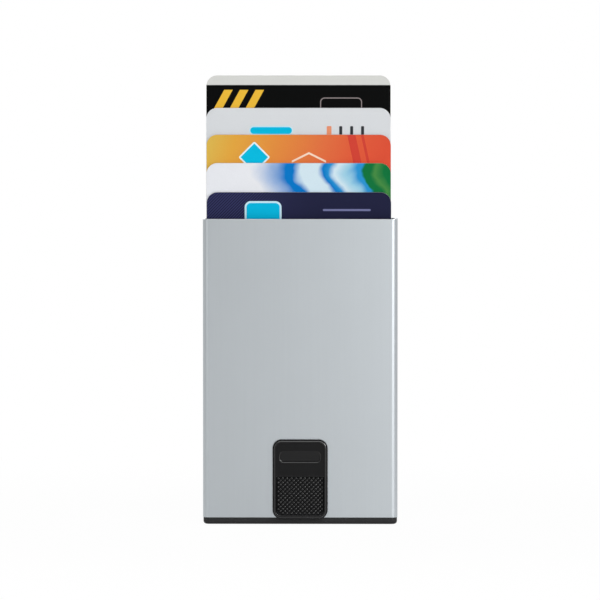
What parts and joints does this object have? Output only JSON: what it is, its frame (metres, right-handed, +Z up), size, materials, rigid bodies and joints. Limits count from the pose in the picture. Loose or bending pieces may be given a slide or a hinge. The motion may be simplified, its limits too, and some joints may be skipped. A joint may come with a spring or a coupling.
{
  "type": "card holder",
  "caption": "Slim aluminium sleeve for bank cards with a thumb slide on the front that lifts the cards out of its mouth in a fan by a hidden stepped lever.",
  "frame": {"origin": "centre of the base's flat underside", "axes": "+X to the right seen from the slide's side, +Y to the back, +Z up out of the mouth"},
  "size_m": [0.057, 0.0111, 0.1313],
  "materials": {
    "anodised_aluminium": "satin anodised",
    "black_plastic": "satin",
    "slide_plastic": "satin with a polished rim",
    "liner_plastic": "matt",
    "pusher_plastic": "natural",
    "steel": "bright",
    "felt": "napped",
    "card_navy": "laminated",
    "card_blue_green": "laminated",
    "card_orange": "laminated",
    "card_pale_grey": "laminated",
    "card_black": "laminated"
  },
  "bodies": {
    "holder": {"sleeve": "anodised_aluminium", "base_cap": "black_plastic", "front_liner": "liner_plastic", "pivot_pin": "steel", "return_spring": "steel", "felt_strip_left": "felt", "felt_strip_right": "felt"},
    "slide": {"slide_button": "slide_plastic", "slide_carriage": "liner_plastic", "carriage_screw_left": "steel", "carriage_screw_right": "steel", "drive_pin": "steel"},
    "lever": {"lever_plate": "steel", "stepped_pusher": "pusher_plastic", "pusher_rivet_left": "steel", "pusher_rivet_right": "steel"},
    "first_card": {"card_1": "card_navy"},
    "second_card": {"card_2": "card_blue_green"},
    "third_card": {"card_3": "card_orange"},
    "fourth_card": {"card_4": "card_pale_grey"},
    "fifth_card": {"card_5": "card_black"}
  },
  "joints": [
    {"name": "slide_up", "type": "slide", "parent": "holder", "child": "slide", "axis": [0, 0, 1], "range_m": [0, 0.014], "stiffness_N_per_m": 60, "springref_m": -0.012, "deforming": ["return_spring"]},
    {"name": "lever_turn", "type": "hinge", "parent": "holder", "child": "lever", "pos_m": [-0.0221, 0, 0.008], "axis": [0, -1, 0], "range_deg": [0, 55.45]},
    {"name": "card_1_slide", "type": "slide", "parent": "holder", "child": "first_card", "axis": [0, 0, 1], "range_m": [-0.0076, 0.0879]},
    {"name": "card_2_slide", "type": "slide", "parent": "holder", "child": "second_card", "axis": [0, 0, 1], "range_m": [-0.0161, 0.0794]},
    {"name": "card_3_slide", "type": "slide", "parent": "holder", "child": "third_card", "axis": [0, 0, 1], "range_m": [-0.0244, 0.0711]},
    {"name": "card_4_slide", "type": "slide", "parent": "holder", "child": "fourth_card", "axis": [0, 0, 1], "range_m": [-0.0322, 0.0633]},
    {"name": "card_5_slide", "type": "slide", "parent": "holder", "child": "fifth_card", "axis": [0, 0, 1], "range_m": [-0.0417, 0.0538]}
  ],
  "couplings": [
    {"joint": "lever_turn", "follows": "slide_up", "rad_per_m": 69.121}
  ]
}
